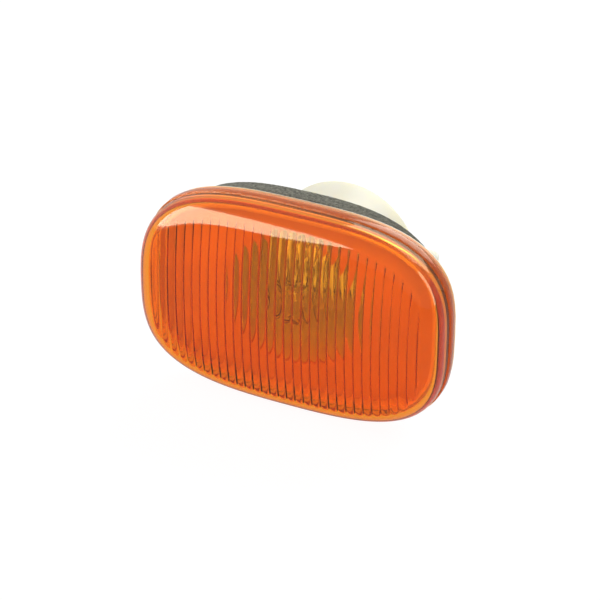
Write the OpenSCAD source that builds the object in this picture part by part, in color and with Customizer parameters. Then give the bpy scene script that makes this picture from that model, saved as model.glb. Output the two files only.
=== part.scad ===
// Side repeater lamp: amber fluted lens on a clip-in housing, with a foam gasket
// and a bayonet bulb holder at the back. Millimetres.
// The lens faces -Y, +X runs along the lamp and +Z is up. The origin is on the
// cup's axis, on the plane where the gasket meets the body panel.

/* [Lens] */
// Length of the lens body
lens_w = 72; // [66:1:80]
// Height of the lens body
lens_h = 48.5; // [45:0.5:54]
// Depth from the front of the crown to the back of the foot
lens_depth = 11; // [9.5:0.25:14]
// Wall of the lens
lens_wall = 2; // [1.6:0.1:2.4]
// Power of the rounded-rectangle outline, where a higher number is squarer
outline_power = 3.1; // [2.8:0.1:3.8]
// Radius that rolls the front over into the sides
edge_r = 5; // [4.5:0.25:7]
// Radius of the crown from bottom to top
crown_z_radius = 110; // [75:5:160]
// Radius of the crown from end to end
crown_x_radius = 600; // [400:50:1200]
// Height of the foot round the back edge
foot_h = 2.1; // [1.2:0.1:2.4]
// How far the foot stands out from the body
foot_step = 0.35; // [0.2:0.05:0.6]

/* [Flutes] */
// Distance from one flute to the next
flute_pitch = 2.03; // [1.8:0.01:3]
// How far a flute stands into the lamp
flute_depth = 0.5; // [0.3:0.05:0.7]
// How far the flutes stop inside the outline, where they have run out into the edge's roll
flute_border = 3; // [2.6:0.1:3.1]

/* [Housing] */
// Thickness of the flange
flange_t = 1.2; // [1:0.1:2]
// How far the flange's edge lies inside the lens's foot
flange_inset = 0.3; // [0.1:0.05:0.5]
// Thickness of the locating lip inside the lens
lip_t = 1.2; // [0.8:0.1:1.6]
// Height of the locating lip
lip_h = 2.5; // [1.5:0.25:2.8]
// Clearance between the lip and the lens
lip_gap = 0.15; // [0.1:0.05:0.3]
// Length of the lip's thinner lead-in
lip_lead = 1; // [0.8:0.1:1.2]
// How far the lead-in steps back from the lens
lip_ease = 0.35; // [0.3:0.05:0.5]
// Gap between the cup and each side of the panel's hole
cup_clear = 1.2; // [0.8:0.1:1.6]
// Wall of the cup
cup_wall = 1.8; // [1.4:0.1:2.2]
// How far the cup reaches behind the panel's face
cup_reach = 20.8; // [19:0.2:24]
// Thickness of the cup's end wall
end_wall = 2; // [1.6:0.1:2.4]
// Rounding of the cup's back edge
cup_round = 1.4; // [0.6:0.1:1.8]
// Thickness of the gussets between the flange and the cup
gusset_t = 1.4; // [1:0.1:2]
// Reach of a gusset along the flange and along the cup
gusset_reach = 4; // [2.5:0.25:4.5]

/* [Clips] */
// How far the lens covers the body panel beyond each end of the panel's hole
cover_ends = 10.8; // [10:0.2:11]
// How far the lens covers the body panel above and below the hole
cover_above = 6; // [5:0.25:6.5]
// Thickness of the body panel
panel_t = 0.9; // [0.7:0.1:1.2]
// Gap between the clips and the panel
clip_gap = 0.2; // [0.1:0.05:0.4]
// How far each clip's lip reaches behind the panel
lip_reach = 2.2; // [1.4:0.1:2.4]
// Width of the snap arm
arm_w = 16; // [10:1:18]
// Thickness of the snap arm
arm_t = 1.5; // [1.2:0.1:1.7]
// Outer radius of the snap arm's bend
arm_bend_r = 2.6; // [2.3:0.1:2.8]
// How far the snap arm reaches behind the panel's face
arm_reach = 14.8; // [10:0.2:18]
// How far the arm's free end comes forward of the panel's face
arm_tip = 2; // [1:0.25:2.5]
// Width of the fixed hook
hook_w = 12; // [8:1:16]
// Thickness of the fixed hook
hook_t = 2; // [1.4:0.1:2.6]

/* [Gasket] */
// Thickness of the foam
gasket_t = 4; // [3:0.25:5]
// How far the foam ring stops short of each end of the lens
gasket_short = 3.75; // [3:0.25:4]
// How far the foam ring stands out beyond the lens's top and bottom
gasket_proud = 0.25; // [0:0.05:0.5]
// Power of the foam ring's outline
gasket_power = 2.8; // [2.6:0.1:3]
// Gap between the foam ring and the lips of the clips
gasket_clear = 0.8; // [0.5:0.1:1.2]
// Gap between the foam ring and each side of the panel's hole
gasket_room = 1.8; // [1.5:0.1:2.2]

/* [Bulb holder] */
// Diameter of the hole in the end wall
socket_d = 20; // [19:0.5:21]
// Radial running clearance of the holder's neck in that hole
neck_gap = 0.06; // [0.03:0.01:0.09]
// Turn between locked and free, in degrees
twist = 40; // [30:5:50]
// Width of a bayonet lug, in degrees
lug_angle = 24; // [18:1:28]
// Extra width of a notch on each side of its lug, in degrees
notch_slack = 2; // [1.5:0.5:3]
// How far a lug stands out from the neck
lug_out = 2; // [1.5:0.1:2.4]
// Thickness of a lug
lug_t = 2; // [1.5:0.1:2.5]
// Axial clearance between moving faces
face_gap = 0.15; // [0.1:0.05:0.25]
// Thickness of the sealing ring
seal_t = 1.3; // [1:0.1:2]
// Width of the sealing ring
seal_w = 2.8; // [2.6:0.1:3]
// Thickness of the holder's cap
cap_t = 2.4; // [2:0.1:4]
// How far the cap reaches beyond the sealing ring
cap_rim = 0.7; // [0.4:0.1:1.2]
// Diameter of the nose that holds the bulb
nose_d = 16; // [14:0.5:17]
// How far the nose reaches forward of the end wall's back face
nose_reach = 10.4; // [9.8:0.1:11.4]
// Inside width of the connector shroud
shroud_w = 12.4; // [12:0.2:14]
// Inside height of the connector shroud
shroud_h = 6.8; // [6:0.2:8]
// Wall of the connector shroud
shroud_wall = 1.3; // [1:0.1:1.6]
// Length of the connector shroud behind the cap
shroud_l = 6.4; // [6:0.1:9]

/* [Terminals] */
// Thickness of the terminal strip
blade_t = 0.6; // [0.5:0.05:0.8]
// Width of the terminal strip
blade_w = 3.2; // [2.6:0.1:3.6]
// Distance between the two blades
blade_pitch = 8; // [7.6:0.1:8.6]
// How far the blades stop short of the shroud's mouth
blade_short = 1.2; // [0.8:0.1:2]
// Clearance of a terminal in its slot
slot_gap = 0.08; // [0.04:0.02:0.12]

/* [Bulb] */
// Diameter of the bulb
bulb_d = 10; // [9:0.2:10.6]
// Length of the bulb with its base
bulb_l = 26.8; // [24:0.2:27.2]
// Wall of the glass
glass_t = 0.6; // [0.5:0.05:0.8]
// Height of the wedge base across its wide faces
base_w = 9.2; // [8.6:0.1:9.6]
// Thickness of the wedge base
base_t = 2.2; // [2:0.05:2.4]
// Length of the wedge base
base_l = 7; // [6:0.1:7.4]
// Diameter of the lead wire
lead_d = 0.4; // [0.3:0.05:0.5]
// Distance between the two lead wires
lead_pitch = 2.6; // [2.2:0.1:3]
// How far a folded lead stops short of the base's front
lead_short = 2; // [1.5:0.25:3]
// Diameter of the coiled filament
filament_d = 0.6; // [0.4:0.05:0.8]
// Distance from the bulb's tip to the filament
filament_from_tip = 8.5; // [7:0.25:9.5]

/* [Hidden] */

$fn = 64;
// Overlap that joins two shapes of one piece, and how far a cut runs past a face
eps = 0.01;
past = 1;

// Hole in the body panel
cutout_w = lens_w - 2 * cover_ends;
cutout_h = lens_h - 2 * cover_above;

// Planes along Y, counted from the panel's face at 0
flange_back = -gasket_t;
flange_front = flange_back - flange_t;
lens_front = flange_front - lens_depth;
end_front = cup_reach - end_wall;
lug_back = end_front - face_gap;
lug_front = lug_back - lug_t;
seal_front = cup_reach + face_gap;
cap_front = seal_front + seal_t;
cap_back = cap_front + cap_t;
shroud_back = cap_back + shroud_l;
nose_front = cup_reach - nose_reach;

// Outline: steps round the lamp
outline_steps = 72;

// Lens
crown_drop = max([for (p = outline(lens_w, lens_h, outline_power, 0)) crown(p)]);
straight_side = 0.3;
edge_fit = min(edge_r, lens_depth - crown_drop - straight_side);
edge_steps = 5;
front_steps = 4;
flute_r = (pow(flute_pitch / 2, 2) + pow(flute_depth, 2)) / (2 * flute_depth);
flute_root = 0.3;
flute_web = 0.12;
flute_arc_steps = 4;
flute_rows = 8;
flutes_each_side = floor((lens_w / 2 - flute_border) / flute_pitch - 0.5);

// Housing
cup_r = cutout_h / 2 - cup_clear;
socket_r = socket_d / 2;
cup_round_fit = min(cup_round, cup_wall, end_wall);
gusset_angles = [55, 125, 235, 305];
gusset_toe = 0.6;
gusset_rise = 2;

// Clips
clip_face = cutout_w / 2 - clip_gap;
catch_y = panel_t + clip_gap;
bend_room = 1;
bend_inside = 0.5;
bend_fit = max(arm_t + bend_inside, min(arm_bend_r, (clip_face - cup_r - bend_room) / 2));
lip_ramp = 4.5;
lip_land = 0.7;
hook_h = 3;

// Gasket
gasket_w = lens_w - 2 * gasket_short;
gasket_h = lens_h + 2 * gasket_proud;
gasket_hole_w = 2 * (clip_face + lip_reach + gasket_clear);
gasket_hole_h = cutout_h + 2 * gasket_room;
gasket_hole_power = 3.4;

// Bayonet
neck_r = socket_r - neck_gap;
lug_r = neck_r + lug_out;
notch_angle = lug_angle + 2 * notch_slack;
lug_at = [90, 210, 330];
stop_t = lug_t + face_gap;
stop_angle = 8;
stop_r = socket_r + 0.2;
notch_room = 0.3;
seal_r = socket_r + seal_w;
seal_gap = 0.05;
cap_r = seal_r + cap_rim;
grip_count = 10;
grip_r = 2.2;
grip_bite = 0.7;

// Bulb
bulb_r = bulb_d / 2;
lead_r = lead_d / 2;
base_gap = 0.15;
wire_gap = 0.02;
lead_tip = 0.6;
fold_gap = 0.05;
lead_out = base_t / 2 + lead_r + fold_gap;
base_proud = 0.6;
base_back = nose_front + base_l - base_proud;
base_front = base_back - base_l;
bulb_tip = base_back - bulb_l;
socket_floor = base_back + lead_out + 0.1;
neck_back = base_front + 0.4;
neck_l = 3.6;
shoulder = neck_back - neck_l;
neck_taper = 0.8;
void_back = shoulder + 0.4;
filament_y = bulb_tip + filament_from_tip;

// Terminals
spring_x = base_t / 2 + lead_d + fold_gap + 0.05;
spring_top = nose_front + 0.8;
spring_rise = 2.4;
spring_run = 4;
strip_run = 4;
joggle = 1;
spring_bow = spring_top + spring_rise;
strip_x = spring_x + blade_t / 2 + 0.35;
blade_x = blade_pitch / 2;
blade_back = shroud_back - blade_short;
floor_back = cap_back - 0.4;

// One point of a superellipse of size w by h at angle a
function rim(w, h, n, a) =
    [w / 2 * sign(cos(a)) * pow(abs(cos(a)), 2 / n),
     h / 2 * sign(sin(a)) * pow(abs(sin(a)), 2 / n)];

// Outward normal of that superellipse
function rim_normal(w, h, n, a) =
    let (p = rim(w, h, n, a),
         g = [sign(p[0]) * pow(abs(2 * p[0] / w), n - 1) / w,
              sign(p[1]) * pow(abs(2 * p[1] / h), n - 1) / h])
    g / norm(g);

// Superellipse moved inwards along its normals
function outline(w, h, n, inset) =
    [for (i = [0:outline_steps - 1])
        let (a = 360 * i / outline_steps)
        rim(w, h, n, a) - inset * rim_normal(w, h, n, a)];

function lamp_outline(inset) = outline(lens_w, lens_h, outline_power, inset);

// How far the crowned front falls back at a point of the outline's plane
function crown(p) = p[0] * p[0] / (2 * crown_x_radius) + p[1] * p[1] / (2 * crown_z_radius);

// One loop of the lens's surface: a flat outline dropped onto the crown
function crowned_loop(points, lift) = [for (p = points) [p[0], lift + crown(p), p[1]]];

// Loops of a crowned, rolled-over surface, from the middle of the front to the back
function lens_loops(inset, r, lift, back) = concat(
    [for (i = [1:front_steps])
        crowned_loop(lamp_outline(inset + r) * (i / (front_steps + 1)), lift)],
    [for (i = [0:edge_steps])
        let (a = 90 * (1 - i / edge_steps))
        crowned_loop(lamp_outline(inset + r * (1 - cos(a))), lift + r * (1 - sin(a)))],
    [[for (p = lamp_outline(inset)) [p[0], back, p[1]]]]);

// Solid between a point in front and a run of loops
module loft(tip, loops) {
    n = len(loops[0]);
    m = len(loops);
    sides = [for (j = [0:m - 2]) for (i = [0:n - 1])
        [1 + j * n + i, 1 + j * n + (i + 1) % n, 1 + (j + 1) * n + (i + 1) % n, 1 + (j + 1) * n + i]];
    front = [for (i = [0:n - 1]) [0, 1 + (i + 1) % n, 1 + i]];
    back = [[for (i = [0:n - 1]) 1 + (m - 1) * n + i]];
    polyhedron(concat([tip], [for (loop = loops) for (p = loop) p]), concat(sides, front, back));
}

// Plate between two planes along Y, drawn as seen from the front
module slab(y0, y1) {
    translate([0, y1, 0]) rotate([90, 0, 0]) linear_extrude(y1 - y0) children();
}

// Turned piece about the Y axis, drawn as [radius, y]
module turned() {
    rotate([-90, 0, 0]) rotate_extrude() children();
}

// Solid drawn in the XY plane and as wide as w along Z
module side_profile(w) {
    translate([0, 0, -w / 2]) linear_extrude(w) children();
}

// Ring sector from r0 to r1, w degrees wide, centred on angle a
module sector(r0, r1, a, w) {
    difference() {
        intersection() {
            circle(r = r1);
            polygon([[0, 0], for (t = [-1, 0, 1]) 2 * r1 * [cos(a + t * w / 2), sin(a + t * w / 2)]]);
        }
        circle(r = r0);
    }
}

// Points of an arc about c
function arc(c, r, a0, a1, steps) =
    [for (i = [0:steps]) let (a = a0 + (a1 - a0) * i / steps) c + r * [cos(a), sin(a)]];

// One slice of a flute: an arc that stands into the lamp, on a root inside the wall
module flute_slice(x, z) {
    half = flute_pitch / 2;
    sweep_angle = asin(half / flute_r);
    at = [x, lens_front + lens_wall + crown([x, z]), z];
    translate(at) linear_extrude(eps) polygon(concat(
        [[-half, -flute_root], [half, -flute_root]],
        arc([0, flute_web + flute_depth - flute_r], flute_r,
            90 - sweep_angle, 90 + sweep_angle, flute_arc_steps)));
}

// A flute follows the crown from bottom to top
module flute(x) {
    reach = lens_h / 2 - lens_wall;
    for (i = [0:flute_rows - 1]) {
        hull() {
            flute_slice(x, reach * (2 * i / flute_rows - 1));
            flute_slice(x, reach * (2 * (i + 1) / flute_rows - 1));
        }
    }
}

module lens() {
    inner_r = edge_fit - lens_wall;
    color([0.95, 0.42, 0.08]) union() {
        difference() {
            union() {
                translate([0, lens_front, 0]) loft([0, 0, 0], lens_loops(0, edge_fit, 0, lens_depth));
                slab(flange_front - foot_h, flange_front) polygon(lamp_outline(-foot_step));
            }
            translate([0, lens_front, 0])
                loft([0, lens_wall, 0], lens_loops(lens_wall, inner_r, lens_wall, lens_depth + past));
        }
        intersection() {
            slab(lens_front, flange_front) polygon(lamp_outline(flute_border));
            union() {
                for (i = [-flutes_each_side:flutes_each_side]) flute(i * flute_pitch);
            }
        }
    }
}

// Band between two insets of the lamp's outline
module lip_band(outer, inner) {
    difference() {
        polygon(lamp_outline(outer));
        polygon(lamp_outline(inner));
    }
}

// Locating lip that stands into the lens, thinner at its front
module locating_lip() {
    lip_out = lens_wall + lip_gap;
    lip_front = flange_front - lip_h;
    slab(lip_front + lip_lead, flange_front + eps) lip_band(lip_out, lip_out + lip_t);
    slab(lip_front, lip_front + lip_lead + eps) lip_band(lip_out + lip_ease, lip_out + lip_t);
}

module cup_outside() {
    turned() polygon(concat(
        [[0, flange_front], [cup_r, flange_front]],
        arc([cup_r - cup_round_fit, cup_reach - cup_round_fit], cup_round_fit, 0, 90, 4),
        [[0, cup_reach]]));
}

module gusset(a) {
    rotate([0, -a, 0]) side_profile(gusset_t) polygon([
        [cup_r - cup_wall / 2, flange_back - eps], [cup_r + gusset_reach, flange_back - eps],
        [cup_r + gusset_reach, flange_back + gusset_toe],
        [cup_r - cup_wall / 2, flange_back + gusset_reach + gusset_rise]]);
}

// Leaf that runs back from the flange, bends round and comes forward to its lip
module snap_arm() {
    outer = clip_face;
    inner = outer - 2 * bend_fit;
    centre = [outer - bend_fit, arm_reach - bend_fit];
    side_profile(arm_w) polygon(concat(
        [[inner, flange_back - eps]],
        arc(centre, bend_fit, 180, 0, 8),
        [[outer, catch_y + lip_land + lip_ramp], [outer + lip_reach, catch_y + lip_land],
         [outer + lip_reach, catch_y], [outer, catch_y], [outer, -arm_tip], [outer - arm_t, -arm_tip]],
        arc(centre, bend_fit - arm_t, 0, 180, 8),
        [[inner + arm_t, flange_back - eps]]));
}

module fixed_hook() {
    hook_back = catch_y + hook_h;
    side_profile(hook_w) polygon([
        [-clip_face, flange_back - eps], [-clip_face, catch_y], [-clip_face - lip_reach, catch_y],
        [-clip_face - lip_reach, catch_y + lip_land], [-clip_face + hook_t / 2, hook_back],
        [-clip_face + hook_t, hook_back], [-clip_face + hook_t, flange_back - eps]]);
}

module housing() {
    color([0.93, 0.91, 0.8]) difference() {
        union() {
            slab(flange_front, flange_back) polygon(lamp_outline(flange_inset - foot_step));
            locating_lip();
            cup_outside();
            for (a = gusset_angles) gusset(a);
            snap_arm();
            fixed_hook();
        }
        difference() {
            slab(flange_front - past, end_front) circle(r = cup_r - cup_wall);
            // Two stops on the end wall that a lug meets at the ends of its turn
            slab(end_front - stop_t, end_front + past) {
                sector(stop_r, cup_r, lug_at[0] + notch_angle / 2 + stop_angle / 2, stop_angle);
                sector(stop_r, cup_r, lug_at[0] - twist - notch_angle / 2 - stop_angle / 2, stop_angle);
            }
        }
        slab(end_front - past, cup_reach + past) {
            circle(r = socket_r);
            for (a = lug_at) sector(socket_r - past, lug_r + notch_room, a - twist, notch_angle);
        }
    }
}

module gasket() {
    color([0.38, 0.38, 0.33]) slab(flange_back, 0) difference() {
        polygon(outline(gasket_w, gasket_h, gasket_power, 0));
        polygon(outline(gasket_hole_w, gasket_hole_h, gasket_hole_power, 0));
    }
}

// Centre line of a terminal in the XY plane, from the spring's tip to the blade's end
function terminal_path() = [
    [spring_x + blade_t + 0.9, spring_top],
    [spring_x + blade_t / 2, spring_bow],
    [strip_x, spring_bow + spring_run],
    [strip_x, cap_front - strip_run],
    [blade_x, cap_front - joggle],
    [blade_x, blade_back]];

// Strip of thickness t along a path, measured across X
module strip(path, t) {
    polygon(concat(
        [for (p = path) p + [t / 2, 0]],
        [for (i = [len(path) - 1:-1:0]) path[i] - [t / 2, 0]]));
}

module terminal(side) {
    color([0.8, 0.66, 0.36]) rotate([0, side > 0 ? 0 : 180, 0])
        side_profile(blade_w) strip(terminal_path(), blade_t);
}

// Room for one terminal inside the nose, open at the front
module terminal_chamber() {
    inner = base_t / 2 + base_gap;
    outer = blade_x + blade_t / 2 + slot_gap;
    chamber_w = blade_w + 2 * slot_gap;
    translate([inner - eps, nose_front - past, -chamber_w / 2])
        cube([outer - inner + eps, cap_front - nose_front + past, chamber_w]);
    translate([blade_x - blade_t / 2 - slot_gap, cap_front - past, -chamber_w / 2])
        cube([blade_t + 2 * slot_gap, cap_t + 2 * past, chamber_w]);
}

module cap_outline() {
    difference() {
        circle(r = cap_r);
        for (i = [0:grip_count - 1]) rotate(360 * (i + 0.5) / grip_count)
            translate([cap_r + grip_r - grip_bite, 0]) circle(r = grip_r);
    }
}

// Rounded rectangle
module rounded(w, h, r) {
    square([w - 2 * r, h], center = true);
    square([w, h - 2 * r], center = true);
    for (x = [-1, 1]) for (z = [-1, 1]) translate([x * (w / 2 - r), z * (h / 2 - r)]) circle(r = r);
}

module bulb_holder() {
    color([0.8, 0.79, 0.74]) difference() {
        union() {
            slab(nose_front, lug_front + past) circle(d = nose_d);
            slab(lug_front, cap_front + eps) circle(r = neck_r);
            slab(lug_front, lug_back) for (a = lug_at) sector(neck_r - past, lug_r, a, lug_angle);
            slab(cap_front, cap_back) cap_outline();
            slab(cap_back - eps, shroud_back)
                rounded(shroud_w + 2 * shroud_wall, shroud_h + 2 * shroud_wall, 2);
        }
        // Pocket for the wedge base
        translate([-base_t / 2 - base_gap, nose_front - past, -base_w / 2 - base_gap])
            cube([base_t + 2 * base_gap, socket_floor - nose_front + past, base_w + 2 * base_gap]);
        for (turn = [0, 180]) rotate([0, turn, 0]) terminal_chamber();
        slab(floor_back, shroud_back + past) rounded(shroud_w, shroud_h, 1);
    }
}

module holder_seal() {
    color([0.12, 0.12, 0.12]) slab(seal_front, cap_front) difference() {
        circle(r = seal_r);
        circle(r = neck_r + seal_gap);
    }
}

// Outside of the envelope, from tip to neck, drawn as [radius, y] and shrunk by t
function envelope(t, back) = concat(
    [for (i = [0:6]) let (a = 90 - 15 * i)
        [(bulb_r - t) * cos(a), bulb_tip + bulb_r - (bulb_r - t) * sin(a)]],
    [[bulb_r - t, shoulder], [bulb_r - t - neck_taper, back], [0, back]]);

module bulb_glass() {
    color([0.85, 0.92, 0.95, 0.5]) difference() {
        union() {
            turned() polygon(envelope(0, neck_back));
            translate([-base_t / 2, base_front, -base_w / 2]) cube([base_t, base_l, base_w]);
        }
        turned() polygon(envelope(glass_t, void_back));
        for (z = [-1, 1]) translate([0, void_back - past, z * lead_pitch / 2]) rotate([-90, 0, 0])
            cylinder(r = lead_r + wire_gap, h = base_back - void_back + 2 * past, $fn = 24);
    }
}

module bulb_filament() {
    reach = lead_pitch / 2 - lead_r - wire_gap;
    color([0.55, 0.55, 0.58]) translate([0, filament_y, -reach])
        cylinder(d = filament_d, h = 2 * reach, $fn = 24);
}

// Wire from the filament through the pinch, folded back along one face of the base
module bulb_lead(side) {
    fold_r = lead_out / 2;
    fold_y = base_back + lead_r + fold_gap;
    back_l = base_l - lead_short;
    color([0.75, 0.75, 0.78]) rotate([0, side > 0 ? 0 : 180, 0]) translate([0, 0, lead_pitch / 2]) {
        translate([0, filament_y - lead_tip, 0]) rotate([-90, 0, 0])
            cylinder(r = lead_r, h = fold_y - filament_y + lead_tip, $fn = 24);
        translate([fold_r, fold_y, 0]) rotate_extrude(angle = 180, $fn = 24)
            translate([fold_r, 0]) circle(r = lead_r, $fn = 24);
        translate([lead_out, fold_y - back_l, 0]) rotate([-90, 0, 0])
            cylinder(r = lead_r, h = back_l, $fn = 24);
    }
}

lens();
housing();
gasket();
bulb_holder();
holder_seal();
terminal(-1);  // terminal_left
terminal(1);  // terminal_right
bulb_glass();
bulb_filament();
bulb_lead(-1);  // bulb_lead_left
bulb_lead(1);  // bulb_lead_right
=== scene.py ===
"""Side repeater lamp: its looks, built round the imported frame.

Lengths are in metres. The lens faces -Y, +X runs along the lamp and +Z is up.
"""
import math

import bmesh
import bpy
from mathutils import Matrix, Vector, noise


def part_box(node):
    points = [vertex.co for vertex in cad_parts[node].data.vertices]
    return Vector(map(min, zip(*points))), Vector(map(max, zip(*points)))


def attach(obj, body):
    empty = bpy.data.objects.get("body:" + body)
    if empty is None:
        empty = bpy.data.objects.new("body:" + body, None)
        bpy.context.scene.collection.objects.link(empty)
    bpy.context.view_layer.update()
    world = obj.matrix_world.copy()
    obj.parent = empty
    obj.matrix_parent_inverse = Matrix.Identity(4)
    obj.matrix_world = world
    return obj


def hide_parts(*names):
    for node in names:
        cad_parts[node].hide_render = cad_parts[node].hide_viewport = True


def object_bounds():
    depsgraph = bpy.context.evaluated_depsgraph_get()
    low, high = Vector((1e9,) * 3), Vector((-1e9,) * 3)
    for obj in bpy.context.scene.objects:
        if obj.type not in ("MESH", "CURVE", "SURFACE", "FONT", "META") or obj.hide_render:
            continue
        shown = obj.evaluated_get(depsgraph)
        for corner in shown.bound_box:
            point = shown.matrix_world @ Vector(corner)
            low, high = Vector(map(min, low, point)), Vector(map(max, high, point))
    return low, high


MM = 0.001

# The photograph's view: a long lens that looks at the middle of the lamp's front
VIEW_AZIMUTH = 26.074
VIEW_ELEVATION = 31.468
VIEW_ROLL = -0.021
VIEW_DISTANCE = 0.495
FOCAL_MM = 138.79
SENSOR_MM = 36.0
VIEW_SHIFT = (0.0376, 0.0403)

# Lens: the outline, crown and wall of the CAD source, with shallower flutes whose ends run out smoothly
OUTLINE_POWER = 3.1
EDGE_R = 5 * MM
CROWN_R_UP = 110 * MM
CROWN_R_ALONG = 600 * MM
LENS_WALL = 2 * MM
FOOT_H = 2.1 * MM
FOOT_STEP = 0.35 * MM
FLUTE_PITCH = 2.03 * MM
FLUTE_DEPTH = 0.32 * MM
FLUTE_WEB = 0.13 * MM
FLUTE_BORDER = 3 * MM
CUSP_R = 0.02 * MM
MELD = 0.12 * MM
WELD_GAP = 0.03 * MM
FOOT_R = 0.12 * MM
# How far a small rounding's middle point lies from both faces, as a share of its radius
CORNER_MIDDLE = 0.3

# Fineness of the lens's mesh, with the places across a flute in pitches from its middle
FLUTE_SAMPLES = (-0.5, -0.475, -0.44, -0.38, -0.28, -0.15, 0.0, 0.15, 0.28, 0.38, 0.44, 0.475)
FRONT_LOOPS = 14
ROLL_LOOPS = 14
FLUTED_STEP = 0.17 * MM
FIELD_ROWS = 28
SOLVE_STEPS = 40
# Degrees round the inner roll of its first loops, where the flutes have run out
PLAIN_ROLL_TURNS = range(0, 48, 8)

# Foam ring, whose relief is of fine cells and of coarse ones
GASKET_POWER = 2.8
GASKET_HOLE_POWER = 3.4
GASKET_HOLE = (56 * MM, 40.1 * MM)
FOAM_R = 0.5 * MM
FOAM_STEPS = 720
FOAM_CORNER_ROWS = 5
FOAM_SIDE_ROWS = 10
FOAM_FACE_ROWS = 24
FOAM_RELIEF = 0.12 * MM
FOAM_CELL = 0.55 * MM
COARSE_CELLS = 3
FINE_SHARE = 0.35
COARSE_SHARE = 0.15

# Bulb
COIL_TURNS = 9
COIL_STEPS = 16
COIL_WIRE_R = 0.07 * MM
COIL_LEAD = 2 * COIL_WIRE_R

# Softened edges of the CAD pieces
MOULDED_EDGE = 0.15 * MM
SEAL_EDGE = 0.2 * MM
STRIP_EDGE = 0.05 * MM
EDGE_ANGLE = 35
SAME_PLACE = 0.002 * MM


def link(obj):
    bpy.context.scene.collection.objects.link(obj)
    return obj


def mesh_object(name, points, faces, material):
    """A smooth mesh with its normals facing out."""
    mesh = bpy.data.meshes.new(name)
    mesh.from_pydata([tuple(p) for p in points], [], faces)
    bm = bmesh.new()
    bm.from_mesh(mesh)
    bmesh.ops.recalc_face_normals(bm, faces=bm.faces)
    bm.to_mesh(mesh)
    bm.free()
    mesh.shade_smooth()
    mesh.materials.append(material)
    return link(bpy.data.objects.new(name, mesh))


class Skin:
    """Points and faces of one mesh, built from loops that all have the same number of points."""

    def __init__(self):
        self.points = []
        self.faces = []

    def loop(self, points):
        first = len(self.points)
        self.points.extend(points)
        return list(range(first, len(self.points)))

    def bridge(self, a, b):
        n = len(a)
        for i in range(n):
            j = (i + 1) % n
            self.faces.append((a[i], a[j], b[j], b[i]))

    def fan(self, centre, ring):
        n = len(ring)
        for i in range(n):
            self.faces.append((centre, ring[i], ring[(i + 1) % n]))


def superellipse(half_w, half_h, power, angle):
    c, s = math.cos(angle), math.sin(angle)
    return Vector((half_w * math.copysign(abs(c) ** (2 / power), c),
                   half_h * math.copysign(abs(s) ** (2 / power), s)))


def superellipse_normal(half_w, half_h, power, point):
    g = Vector((math.copysign(abs(point.x / half_w) ** (power - 1), point.x) / half_w,
                math.copysign(abs(point.y / half_h) ** (power - 1), point.y) / half_h))
    return g.normalized()


def inset_superellipse(half_w, half_h, power, inset, angle):
    p = superellipse(half_w, half_h, power, angle)
    return p - superellipse_normal(half_w, half_h, power, p) * inset


# Camera and stage

def make_camera():
    a, e = math.radians(VIEW_AZIMUTH), math.radians(VIEW_ELEVATION)
    roll = math.radians(VIEW_ROLL)
    back = Vector((math.sin(a) * math.cos(e), -math.cos(a) * math.cos(e), math.sin(e)))
    level_right = Vector((0, 0, 1)).cross(back).normalized()
    level_up = back.cross(level_right)
    right = level_right * math.cos(roll) + level_up * math.sin(roll)
    up = back.cross(right)
    target = Vector((0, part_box("lens")[0].y, 0))
    data = bpy.data.cameras.new("camera")
    data.lens = FOCAL_MM
    data.sensor_width = SENSOR_MM
    data.shift_x, data.shift_y = VIEW_SHIFT
    data.clip_start = 0.01
    camera = link(bpy.data.objects.new("camera", data))
    turn = Matrix((right, up, back)).transposed()
    camera.matrix_world = Matrix.Translation(target + back * VIEW_DISTANCE) @ turn.to_4x4()
    bpy.context.scene.camera = camera


def math_node(tree, operation, a, b):
    """The result of one sum on two values, where each is a socket or a plain number."""
    n = tree.nodes.new("ShaderNodeMath")
    n.operation = operation
    for socket, value in zip(n.inputs, (a, b)):
        if isinstance(value, float):
            socket.default_value = value
        else:
            tree.links.new(value, socket)
    return n.outputs[0]


def ray_share(tree, shares):
    """The largest of the shares given to the kinds of ray that a light path is of."""
    path = tree.nodes.new("ShaderNodeLightPath")
    largest = None
    for kind, share in shares.items():
        part = math_node(tree, "MULTIPLY", path.outputs[kind], share)
        largest = part if largest is None else math_node(tree, "MAXIMUM", largest, part)
    return largest


# Brightness of the surroundings as a light, and the rays that see them plain white
FILL = 0.5
SEEN_RAYS = {"Is Camera Ray": 1.0, "Is Glossy Ray": 1.0, "Is Transmission Ray": 1.0}


def make_world():
    """White where it is seen, dimmer as a light."""
    world = bpy.data.worlds.new("studio")
    world.use_nodes = True
    tree = world.node_tree
    tree.nodes.clear()
    seen = tree.nodes.new("ShaderNodeBackground")
    seen.inputs["Color"].default_value = (1, 1, 1, 1)
    fill = tree.nodes.new("ShaderNodeBackground")
    fill.inputs["Color"].default_value = (1, 1, 1, 1)
    fill.inputs["Strength"].default_value = FILL
    mix = tree.nodes.new("ShaderNodeMixShader")
    out = tree.nodes.new("ShaderNodeOutputWorld")
    tree.links.new(ray_share(tree, SEEN_RAYS), mix.inputs[0])
    tree.links.new(fill.outputs[0], mix.inputs[1])
    tree.links.new(seen.outputs[0], mix.inputs[2])
    tree.links.new(mix.outputs[0], out.inputs["Surface"])
    bpy.context.scene.world = world


# The floor, with its white and the share of that white that each kind of ray sees
FLOOR_HALF = 3.0
FLOOR_COLOUR = (0.62, 0.62, 0.62, 1)
FLOOR_WHITE = 1.12
SEEN_SHARE = 0.84
MIRRORED_SHARE = 0.2
WHITE_RAYS = {
    "Is Camera Ray": SEEN_SHARE,
    "Is Transmission Ray": SEEN_SHARE,
    "Is Glossy Ray": MIRRORED_SHARE,
}


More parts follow.
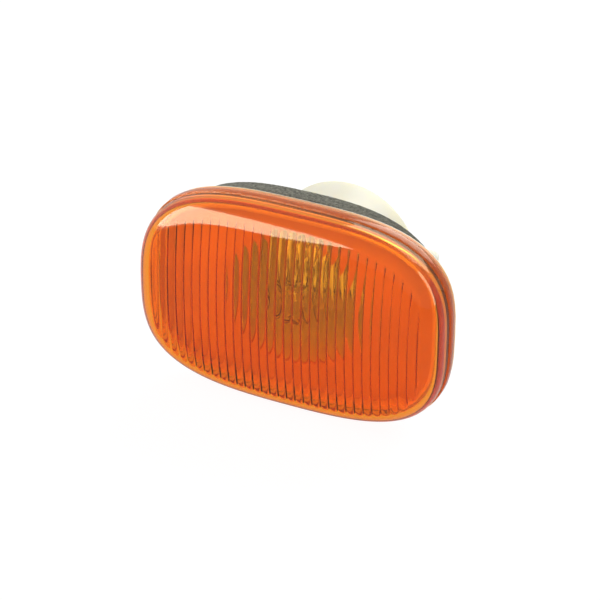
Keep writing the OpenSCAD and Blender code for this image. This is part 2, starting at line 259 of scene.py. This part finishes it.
def make_floor():
    """A pale floor that is near white where it is seen, and that a gloss mirrors mostly as it is lit."""
    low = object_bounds()[0]
    material = bpy.data.materials.new("floor")
    material.use_nodes = True
    tree = material.node_tree
    tree.nodes.clear()
    diffuse = tree.nodes.new("ShaderNodeBsdfDiffuse")
    diffuse.inputs["Color"].default_value = FLOOR_COLOUR
    white = tree.nodes.new("ShaderNodeEmission")
    white.inputs["Strength"].default_value = FLOOR_WHITE
    mix = tree.nodes.new("ShaderNodeMixShader")
    out = tree.nodes.new("ShaderNodeOutputMaterial")
    tree.links.new(ray_share(tree, WHITE_RAYS), mix.inputs[0])
    tree.links.new(diffuse.outputs[0], mix.inputs[1])
    tree.links.new(white.outputs[0], mix.inputs[2])
    tree.links.new(mix.outputs[0], out.inputs["Surface"])
    z = low.z
    corners = [(-FLOOR_HALF, -FLOOR_HALF, z), (FLOOR_HALF, -FLOOR_HALF, z),
               (FLOOR_HALF, FLOOR_HALF, z), (-FLOOR_HALF, FLOOR_HALF, z)]
    mesh_object("floor", corners, [(0, 1, 2, 3)], material)


def softbox(name, azimuth, elevation, distance, size, radiance):
    """A soft rectangular lamp aimed at the part, by how bright its face is."""
    data = bpy.data.lights.new(name, "AREA")
    data.shape = "RECTANGLE"
    data.size, data.size_y = size
    data.energy = radiance * math.pi * size[0] * size[1]
    a, e = math.radians(azimuth), math.radians(elevation)
    towards = Vector((math.sin(a) * math.cos(e), -math.cos(a) * math.cos(e), math.sin(e)))
    lamp = link(bpy.data.objects.new(name, data))
    turn = towards.to_track_quat("Z", "Y").to_matrix().to_4x4()
    lamp.matrix_world = Matrix.Translation(towards * distance) @ turn
    return lamp


def gloss_only(lamp):
    """Leaves a lamp to be mirrored, without lighting the part."""
    lamp.visible_diffuse = False
    lamp.visible_transmission = False


def make_lights():
    softbox("window", azimuth=-52, elevation=27, distance=0.7, size=(0.8, 0.62), radiance=1.1)
    window_shine = softbox(
        "window_shine", azimuth=-52, elevation=27, distance=0.69, size=(0.8, 0.5), radiance=9.0)
    gloss_only(window_shine)
    side_shine = softbox(
        "side_shine", azimuth=97, elevation=24, distance=0.7, size=(0.12, 0.6), radiance=6.0)
    gloss_only(side_shine)
    softbox("back", azimuth=165, elevation=40, distance=0.9, size=(0.8, 0.7), radiance=3.6)


# Materials

class Paint:
    """A node material with one Principled shader and a few helpers to drive it."""

    def __init__(self, name):
        self.material = bpy.data.materials.new(name)
        self.material.use_nodes = True
        self.tree = self.material.node_tree
        self.shader = self.tree.nodes["Principled BSDF"]
        self.place = self.node("ShaderNodeTexCoord").outputs["Object"]

    def node(self, kind, **values):
        n = self.tree.nodes.new(kind)
        for key, value in values.items():
            setattr(n, key, value)
        return n

    def link(self, a, b):
        self.tree.links.new(a, b)

    def set(self, **values):
        for key, value in values.items():
            self.shader.inputs[key.replace("_", " ")].default_value = value

    def noise(self, scale, detail=2.0, roughness=0.5):
        """Noise whose features are about 1/scale of a metre."""
        n = self.node("ShaderNodeTexNoise")
        n.inputs["Scale"].default_value = scale
        n.inputs["Detail"].default_value = detail
        n.inputs["Roughness"].default_value = roughness
        self.link(self.place, n.inputs["Vector"])
        return n.outputs["Fac"]

    def cells(self, scale):
        n = self.node("ShaderNodeTexVoronoi")
        n.inputs["Scale"].default_value = scale
        self.link(self.place, n.inputs["Vector"])
        return n.outputs["Distance"]

    def mottle(self, factor, dark, light, start=0.3, end=0.7):
        """One colour turning into another over the middle of a noise."""
        n = self.node("ShaderNodeValToRGB")
        for element, at, colour in zip(n.color_ramp.elements, (start, end), (dark, light)):
            element.position = at
            element.color = (*colour, 1)
        self.link(factor, n.inputs[0])
        return n.outputs["Color"]

    def span(self, factor, low, high):
        n = self.node("ShaderNodeMapRange")
        n.inputs["To Min"].default_value = low
        n.inputs["To Max"].default_value = high
        self.link(factor, n.inputs["Value"])
        return n.outputs["Result"]

    def past(self, axis, at, soft):
        """0 before a place along an axis and 1 after it, over a soft edge."""
        parts = self.node("ShaderNodeSeparateXYZ")
        self.link(self.place, parts.inputs[0])
        n = self.node("ShaderNodeMapRange")
        n.inputs["From Min"].default_value = at - soft
        n.inputs["From Max"].default_value = at + soft
        self.link(parts.outputs[axis], n.inputs["Value"])
        return n.outputs["Result"]

    def blend(self, factor, before, after):
        """One colour turning into another, where each is a socket or a plain colour."""
        n = self.node("ShaderNodeMix", data_type="RGBA")
        self.link(factor, n.inputs["Factor"])
        for name, colour in (("A", before), ("B", after)):
            socket = next(i for i in n.inputs if i.name == name and i.type == "RGBA")
            if isinstance(colour, tuple):
                socket.default_value = (*colour, 1)
            else:
                self.link(colour, socket)
        return next(o for o in n.outputs if o.type == "RGBA")

    def bump(self, heights, distance):
        """Adds one bump on top of any before it."""
        n = self.node("ShaderNodeBump")
        n.inputs["Distance"].default_value = distance
        self.link(heights, n.inputs["Height"])
        normal = self.shader.inputs["Normal"]
        if normal.is_linked:
            self.link(normal.links[0].from_socket, n.inputs["Normal"])
        self.link(n.outputs["Normal"], normal)

    def drive(self, name, socket):
        self.link(socket, self.shader.inputs[name])


def clear_to_lamps(paint, tint):
    """Lets lamps light what is behind a see-through surface, through a tint."""
    window = paint.node("ShaderNodeBsdfTransparent")
    window.inputs["Color"].default_value = (*tint, 1)
    mix = paint.node("ShaderNodeMixShader")
    path = paint.node("ShaderNodeLightPath")
    out = paint.tree.nodes["Material Output"]
    paint.link(path.outputs["Is Shadow Ray"], mix.inputs[0])
    paint.link(paint.shader.outputs[0], mix.inputs[1])
    paint.link(window.outputs[0], mix.inputs[2])
    paint.link(mix.outputs[0], out.inputs["Surface"])


# What the amber absorbs with depth, then the tints of its skin, its gloss and its foot, whose paler
# amber is partly its frosted weld zone and partly painted sheen
AMBER = (0.9835, 0.7576, 0.0)
AMBER_DENSITY = 550
AMBER_SKIN = (0.95, 0.51, 0.06)
AMBER_GLOSS = (1.0, 0.88, 0.6)
AMBER_FOOT_AND_SHEEN = (0.70, 0.50, 0.26)
FOOT_BLUR = 0.1 * MM


def amber_lens():
    """Amber plastic, whose colour deepens with the thickness that the light passes."""
    paint = Paint("amber_lens")
    paint.set(Transmission_Weight=1.0, IOR=1.5, Specular_Tint=(*AMBER_GLOSS, 1))
    foot = paint.past("Y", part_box("lens")[1].y - FOOT_H, FOOT_BLUR)
    # Painted sheen: the foot band's paler, greyer amber stands partly for its frosted weld zone and
    # partly for a whitish sheen
    paint.drive("Base Color", paint.blend(foot, AMBER_SKIN, AMBER_FOOT_AND_SHEEN))
    paint.drive("Roughness", paint.span(paint.noise(900, 3), 0.03, 0.1))
    paint.bump(paint.noise(60, 1), 0.02 * MM)
    through_one_skin = [c ** 0.5 for c in AMBER_SKIN]
    clear_to_lamps(paint, through_one_skin)
    absorb = paint.node("ShaderNodeVolumeAbsorption")
    absorb.inputs["Color"].default_value = (*AMBER, 1)
    absorb.inputs["Density"].default_value = AMBER_DENSITY
    paint.link(absorb.outputs[0], paint.tree.nodes["Material Output"].inputs["Volume"])
    return paint.material


# How deep light goes into the flange and into the cup, and the painted amber light and shade on the
# flange's edge between the lens and the foam
FLANGE_DEPTH = 2.5 * MM
CUP_DEPTH = 5 * MM
CUP_START = 2 * MM
CUP_BLUR = 1 * MM
FLANGE_PAINTED_AMBER_LIGHT = (0.66, 0.30, 0.11)
AMBER_LIGHT_BLUR = 0.05 * MM
AMBER_LIGHT_MARGIN = 0.1 * MM


def cream_plastic():
    """Cream plastic, with painted amber light and shade on the flange's edge between the lens and the
    foam.
    """
    paint = Paint("cream_plastic")
    cream = paint.mottle(paint.noise(90, 4), (0.80, 0.77, 0.58), (0.86, 0.83, 0.65))
    edge_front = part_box("lens")[1].y
    edge_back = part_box("gasket")[0].y - AMBER_LIGHT_MARGIN
    # Painted amber light and shade: the flange's edge between the lens and the foam is tinted
    # orange-brown
    amber_lit = paint.blend(paint.past("Y", edge_front, AMBER_LIGHT_BLUR), cream, FLANGE_PAINTED_AMBER_LIGHT)
    paint.drive("Base Color", paint.blend(paint.past("Y", edge_back, AMBER_LIGHT_BLUR), amber_lit, cream))
    paint.drive("Roughness", paint.span(paint.noise(700, 3), 0.32, 0.5))
    paint.set(Subsurface_Weight=1.0, Subsurface_Radius=(1.0, 0.9, 0.6))
    cup = paint.past("Y", CUP_START, CUP_BLUR)
    paint.drive("Subsurface Scale", paint.span(cup, FLANGE_DEPTH, CUP_DEPTH))
    paint.bump(paint.noise(2500, 2), 0.01 * MM)
    return paint.material


def foam():
    paint = Paint("foam")
    pores = paint.noise(1400, 4, 0.7)
    paint.drive("Base Color", paint.mottle(pores, (0.05, 0.05, 0.038), (0.24, 0.235, 0.18), start=0.32))
    paint.set(Roughness=0.95)
    paint.bump(paint.cells(2600), 0.3 * MM)
    return paint.material


def milky_nylon():
    """Natural nylon, which lets some light through."""
    paint = Paint("milky_nylon")
    paint.set(Transmission_Weight=0.85, IOR=1.25)
    paint.drive("Base Color", paint.mottle(paint.noise(120, 4), (0.98, 0.98, 0.96), (0.99, 0.99, 0.98)))
    paint.drive("Roughness", paint.span(paint.noise(900, 3), 0.35, 0.45))
    paint.bump(paint.noise(3500, 2), 0.01 * MM)
    return paint.material


def seal_rubber():
    paint = Paint("seal_rubber")
    paint.drive("Base Color", paint.mottle(paint.noise(300, 4), (0.02, 0.02, 0.02), (0.04, 0.04, 0.04)))
    paint.drive("Roughness", paint.span(paint.noise(1500, 3), 0.6, 0.8))
    paint.bump(paint.noise(4000, 2), 0.01 * MM)
    return paint.material


def terminal_brass():
    paint = Paint("terminal_brass")
    paint.set(Metallic=1.0)
    paint.drive("Base Color", paint.mottle(paint.noise(250, 5), (0.62, 0.44, 0.2), (0.8, 0.6, 0.3)))
    paint.drive("Roughness", paint.span(paint.noise(1800, 4), 0.22, 0.4))
    paint.bump(paint.noise(6000, 2), 0.004 * MM)
    return paint.material


def clear_glass():
    paint = Paint("clear_glass")
    paint.set(Base_Color=(0.97, 0.99, 0.99, 1), Transmission_Weight=1.0, IOR=1.5)
    paint.drive("Roughness", paint.span(paint.noise(500, 2), 0.0, 0.03))
    paint.bump(paint.noise(200, 1), 0.03 * MM)
    clear_to_lamps(paint, (0.97, 0.98, 0.98))
    return paint.material


def wire(name, colour, roughness):
    paint = Paint(name)
    paint.set(Metallic=1.0)
    dim = [c * 0.8 for c in colour]
    paint.drive("Base Color", paint.mottle(paint.noise(900, 3), dim, colour))
    paint.drive("Roughness", paint.span(paint.noise(3000, 2), roughness - 0.1, roughness + 0.1))
    return paint.material


# Lens

def soft_larger(a, b, meld):
    """The larger of two heights, with their crossing rounded over a small height."""
    return (a + b + math.sqrt((a - b) ** 2 + meld * meld)) / 2


def solve(reaches, low, high):
    """The place between low and high at which reaches turns from false to true."""
    for _ in range(SOLVE_STEPS):
        middle = (low + high) / 2
        if reaches(middle):
            high = middle
        else:
            low = middle
    return high


class LensShape:
    """The lens's outline and crown, with flutes that run out into the roll of its edge."""

    def __init__(self):
        low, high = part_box("lens")
        self.half_w = high.x - FOOT_STEP
        self.half_h = high.z - FOOT_STEP
        self.front = low.y
        self.back = high.y - WELD_GAP
        self.foot_front = high.y - FOOT_H
        self.inner_r = EDGE_R - LENS_WALL
        self.flutes_each_side = math.floor((self.half_w - FLUTE_BORDER) / FLUTE_PITCH - 0.5)
        self.columns = self.flute_columns()
        self.field_inset = self.half_w - self.columns[0] - FLUTED_STEP / 4
        self.angles = self.angles_at(LENS_WALL)

    def at(self, inset, angle):
        return inset_superellipse(self.half_w, self.half_h, OUTLINE_POWER, inset, angle)

    def crown(self, x, z):
        return x * x / (2 * CROWN_R_ALONG) + z * z / (2 * CROWN_R_UP)

    def flute(self, x):
        """How far the fluted surface stands into the lamp at x, with its cusps rounded."""
        k = round(x / FLUTE_PITCH)
        if abs(k) > self.flutes_each_side:
            return FLUTE_WEB
        half = FLUTE_PITCH / 2
        r = (half * half + FLUTE_DEPTH * FLUTE_DEPTH) / (2 * FLUTE_DEPTH)
        off = x - k * FLUTE_PITCH
        above_cusp = FLUTE_DEPTH - r + math.sqrt(r * r - off * off)
        return FLUTE_WEB + math.hypot(above_cusp, CUSP_R) - CUSP_R

    def roll(self, inset):
        """How far the inner roll has risen from the front's inside."""
        share = max(0.0, 1 - (inset - LENS_WALL) / self.inner_r)
        return self.inner_r * (1 - math.sqrt(1 - share * share))

    def flute_columns(self):
        """Places along the first half at which whole flutes are sampled, from the end inwards."""
        whole = self.flutes_each_side - 1
        offsets = {round((k + s) * FLUTE_PITCH, 9) for k in range(whole + 1) for s in FLUTE_SAMPLES}
        offsets.add(round((whole + 0.5) * FLUTE_PITCH, 9))
        return sorted((x for x in offsets if x > 0), reverse=True)

    def angles_at(self, inset):
        """Angles of a loop that crosses every flute at its samples, all the way round."""
        right = math.pi / 2
        first = solve(lambda angle: self.at(inset, angle).x < self.columns[0], 0.0, right)
        top_of_end = self.at(inset, first).y
        quarter = [0.0]
        for i in range(1, FIELD_ROWS // 2):
            z = top_of_end * i / (FIELD_ROWS // 2)
            quarter.append(solve(lambda angle: self.at(inset, angle).y > z, 0.0, right))
        quarter.append(first)
        for x in self.columns[1:]:
            quarter.append(solve(lambda angle: self.at(inset, angle).x < x, 0.0, right))
        upper = quarter + [right] + [math.pi - angle for angle in reversed(quarter[1:])]
        return upper + [angle + math.pi for angle in upper]

    def crowned(self, inset, lift, scale=1.0):
        """A loop of the surface that follows the crown."""
        loop = []
        for angle in self.angles:
            p = self.at(inset, angle) * scale
            loop.append(Vector((p.x, self.front + lift + self.crown(p.x, p.y), p.y)))
        return loop

    def flat(self, inset, y):
        """A loop of the outline at one depth."""
        return [Vector((p.x, y, p.y)) for p in (self.at(inset, angle) for angle in self.angles)]

    def outside(self):
        """Loops of the crown, the rolled edge, the side and the foot, from front to back."""
        loops = [self.crowned(EDGE_R, 0, i / (FRONT_LOOPS + 1)) for i in range(1, FRONT_LOOPS + 1)]
        for i in range(ROLL_LOOPS + 1):
            turn = math.pi / 2 * i / ROLL_LOOPS
            loops.append(self.crowned(EDGE_R * (1 - math.sin(turn)), EDGE_R * (1 - math.cos(turn))))
        r = FOOT_R
        m = CORNER_MIDDLE * r
        foot = self.foot_front
        for inset, y in ((0, foot - r), (-m, foot - m), (-r, foot), (r - FOOT_STEP, foot),
                         (m - FOOT_STEP, foot + m), (-FOOT_STEP, foot + r), (-FOOT_STEP, self.back - r),
                         (m - FOOT_STEP, self.back - m), (r - FOOT_STEP, self.back)):
            loops.append(self.flat(inset, y))
        return loops

    def inner_point(self, x, z, inset):
        """A point of the inside, where the roll and the flutes meld."""
        rise = soft_larger(self.roll(inset), self.flute(x), MELD)
        return Vector((x, self.front + LENS_WALL + self.crown(x, z) + rise, z))

    def inside(self):
        """Loops of the inner wall, then of the roll with the flutes' ends, from back to front."""
        loops = [self.flat(LENS_WALL + FOOT_R, self.back), self.flat(LENS_WALL, self.back - FOOT_R)]
        turns = [math.radians(turn) for turn in PLAIN_ROLL_TURNS]
        insets = [LENS_WALL + self.inner_r * (1 - math.cos(turn)) for turn in turns]
        count = math.ceil((self.field_inset - insets[-1]) / FLUTED_STEP)
        insets += [insets[-1] + (self.field_inset - insets[-1]) * i / count for i in range(1, count + 1)]
        for inset in insets:
            places = (self.at(inset, angle) for angle in self.angles_at(inset))
            loops.append([self.inner_point(p.x, p.y, inset) for p in places])
        return loops


def add_field(skin, shape, rim):
    """The fluted field inside its rim: a column of points for each sample of a flute."""
    half = FIELD_ROWS // 2
    n = len(rim)
    columns = []
    for i in range(half, n // 2 - half + 1):
        upper = skin.points[rim[i]]
        heights = [upper.z * (1 - k / half) for k in range(1, FIELD_ROWS)]
        between = [shape.inner_point(upper.x, z, EDGE_R) for z in heights]
        columns.append([rim[i]] + skin.loop(between) + [rim[n - i]])
    right_end = [rim[(half - k) % n] for k in range(FIELD_ROWS + 1)]
    left_end = [rim[n // 2 - half + k] for k in range(FIELD_ROWS + 1)]
    for a, b in zip([right_end] + columns, columns + [left_end]):
        for k in range(FIELD_ROWS):
            face = [a[k], a[k + 1], b[k + 1], b[k]]
            skin.faces.append(tuple(dict.fromkeys(face)))


def make_lens(material):
    shape = LensShape()
    skin = Skin()
    centre = skin.loop([Vector((0, shape.front, 0))])[0]
    loops = [skin.loop(points) for points in shape.outside() + shape.inside()]
    skin.fan(centre, loops[0])
    for a, b in zip(loops, loops[1:]):
        skin.bridge(a, b)
    add_field(skin, shape, loops[-1])
    lens = mesh_object("amber_lens", skin.points, skin.faces, material)
    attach(lens, "lamp")
    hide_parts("lens")


# Foam ring

def ring_loop(half, power, inset):
    """One loop round the foam ring, inset from an outline given by its half sizes."""
    angles = (2 * math.pi * i / FOAM_STEPS for i in range(FOAM_STEPS))
    return [inset_superellipse(*half, power, inset, angle) for angle in angles]


def foam_edge(near, far):
    """The ring's rounded edge in section: how far in, and how deep, from one face to the other."""
    r = FOAM_R
    turns = [math.pi / 2 * i / FOAM_CORNER_ROWS for i in range(FOAM_CORNER_ROWS + 1)]
    corner = [(r * (1 - math.sin(turn)), r * (1 - math.cos(turn))) for turn in turns]
    straight = far - near - 2 * r
    edge = [(inset, near + deep) for inset, deep in corner]
    edge += [(0.0, near + r + straight * i / FOAM_SIDE_ROWS) for i in range(1, FOAM_SIDE_ROWS)]
    return edge + [(inset, far - deep) for inset, deep in reversed(corner)]


def roughen(mesh, relief, cell):
    """Sinks each point by about half the relief, more or less in two sizes of cell."""
    normals = [vertex.normal.copy() for vertex in mesh.vertices]
    for vertex, normal in zip(mesh.vertices, normals):
        fine = noise.noise(vertex.co / cell)
        coarse = noise.noise(vertex.co / (COARSE_CELLS * cell))
        vertex.co -= normal * relief * (0.5 + FINE_SHARE * fine + COARSE_SHARE * coarse)


def make_gasket(material):
    low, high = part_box("gasket")
    outer = (high.x, high.z)
    hole = (GASKET_HOLE[0] / 2, GASKET_HOLE[1] / 2)
    edge = foam_edge(low.y, high.y)
    loops = []
    for inset, y in edge:
        loops.append([Vector((p.x, y, p.y)) for p in ring_loop(outer, GASKET_POWER, inset)])
    face_out = ring_loop(outer, GASKET_POWER, FOAM_R)
    face_in = ring_loop(hole, GASKET_HOLE_POWER, -FOAM_R)
    for row in range(1, FOAM_FACE_ROWS):
        across = [a.lerp(b, row / FOAM_FACE_ROWS) for a, b in zip(face_out, face_in)]
        loops.append([Vector((p.x, high.y, p.y)) for p in across])
    for inset, y in reversed(edge):
        loops.append([Vector((p.x, y, p.y)) for p in ring_loop(hole, GASKET_HOLE_POWER, -inset)])
    skin = Skin()
    rows = [skin.loop(points) for points in loops]
    for a, b in zip(rows, rows[1:] + rows[:1]):
        skin.bridge(a, b)
    gasket = mesh_object("foam_ring", skin.points, skin.faces, material)
    roughen(gasket.data, FOAM_RELIEF, FOAM_CELL)
    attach(gasket, "lamp")
    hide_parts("gasket")


# Bulb

def make_filament(material):
    """A coil of wire in the space of the CAD's plain filament, with straight ends at its middle line."""
    low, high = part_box("bulb_filament")
    middle = (low + high) / 2
    r = (high.y - low.y) / 2 - COIL_WIRE_R
    length = high.z - low.z - 2 * COIL_LEAD
    points = [Vector((middle.x, middle.y, low.z + COIL_WIRE_R))]
    for i in range(COIL_TURNS * COIL_STEPS + 1):
        turn = 2 * math.pi * i / COIL_STEPS
        z = low.z + COIL_LEAD + length * i / (COIL_TURNS * COIL_STEPS)
        points.append(Vector((middle.x + r * math.cos(turn), middle.y + r * math.sin(turn), z)))
    points.append(Vector((middle.x, middle.y, high.z - COIL_WIRE_R)))
    curve = bpy.data.curves.new("filament_coil", "CURVE")
    curve.dimensions = "3D"
    curve.bevel_depth = COIL_WIRE_R
    curve.bevel_resolution = 2
    curve.use_fill_caps = True
    spline = curve.splines.new("POLY")
    spline.points.add(len(points) - 1)
    for point, place in zip(spline.points, points):
        point.co = (*place, 1)
    curve.materials.append(material)
    coil = link(bpy.data.objects.new("filament_coil", curve))
    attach(coil, "holder")
    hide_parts("bulb_filament")


# CAD pieces that only take a finish

def finish_node(node, material, edge=None):
    """Gives a CAD node its material, with its edges softened by a small bevel."""
    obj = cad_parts[node]
    obj.data.materials.clear()
    obj.data.materials.append(material)
    if edge:
        weld = obj.modifiers.new("weld", "WELD")
        weld.merge_threshold = SAME_PLACE
        bevel = obj.modifiers.new("bevel", "BEVEL")
        bevel.width = edge
        bevel.segments = 2
        bevel.limit_method = "ANGLE"
        bevel.angle_limit = math.radians(EDGE_ANGLE)
        obj.modifiers.new("normals", "WEIGHTED_NORMAL")


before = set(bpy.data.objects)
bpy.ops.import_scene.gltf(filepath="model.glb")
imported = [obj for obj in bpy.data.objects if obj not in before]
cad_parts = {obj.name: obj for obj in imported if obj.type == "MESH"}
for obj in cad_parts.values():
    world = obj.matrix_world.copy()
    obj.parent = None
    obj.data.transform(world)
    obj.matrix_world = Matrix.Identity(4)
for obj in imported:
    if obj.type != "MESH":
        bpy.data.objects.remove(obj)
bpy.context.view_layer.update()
bpy.context.scene.view_settings.view_transform = "Standard"
make_camera()
make_world()
make_floor()
make_lights()
make_lens(amber_lens())
make_gasket(foam())
finish_node("housing", cream_plastic(), MOULDED_EDGE)
finish_node("bulb_holder", milky_nylon(), MOULDED_EDGE)
finish_node("holder_seal", seal_rubber(), SEAL_EDGE)
brass = terminal_brass()
finish_node("terminal_left", brass, STRIP_EDGE)
finish_node("terminal_right", brass, STRIP_EDGE)
finish_node("bulb_glass", clear_glass())
make_filament(wire("filament_wire", (0.45, 0.45, 0.47), 0.35))
lead = wire("lead_wire", (0.7, 0.7, 0.72), 0.3)
finish_node("bulb_lead_left", lead)
finish_node("bulb_lead_right", lead)
